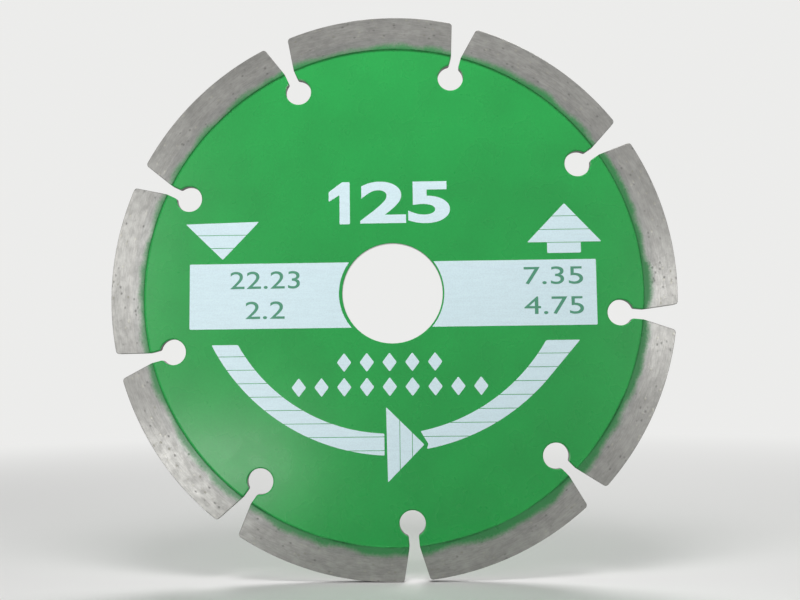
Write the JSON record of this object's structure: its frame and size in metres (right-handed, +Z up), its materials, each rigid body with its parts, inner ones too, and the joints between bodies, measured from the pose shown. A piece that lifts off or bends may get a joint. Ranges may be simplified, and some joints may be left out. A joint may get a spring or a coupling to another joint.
{
  "type": "diamond cutting disc",
  "caption": "Segmented diamond cutting disc: flat painted steel core with a plain bore, keyhole slots and a sintered rim, for a hand-held angle grinder.",
  "frame": {"origin": "centre of the bore, halfway through the core's thickness", "axes": "+Y along the spindle, from the printed front to the plain back; +Z up and +X to the right as the printed front is seen; the disc stands upright"},
  "size_m": [0.125, 0.0022, 0.125],
  "materials": {
    "core": "satin green spray paint over punched steel sheet, bare in the bore and along the slot walls",
    "foot": "sintered bond without diamond, matt warm grey, with paint sprayed over its inner edge",
    "diamond_layer": "sintered bond with diamond grit, matt warm grey, speckled and lightly dressed"
  },
  "bodies": {
    "root": {"steel_core": "core", "segment_foot_1": "foot", "segment_foot_2": "foot", "segment_foot_3": "foot", "segment_foot_4": "foot", "segment_foot_5": "foot", "segment_foot_6": "foot", "segment_foot_7": "foot", "segment_foot_8": "foot", "segment_foot_9": "foot", "diamond_layer_1": "diamond_layer", "diamond_layer_2": "diamond_layer", "diamond_layer_3": "diamond_layer", "diamond_layer_4": "diamond_layer", "diamond_layer_5": "diamond_layer", "diamond_layer_6": "diamond_layer", "diamond_layer_7": "diamond_layer", "diamond_layer_8": "diamond_layer", "diamond_layer_9": "diamond_layer"}
  },
  "joints": []
}
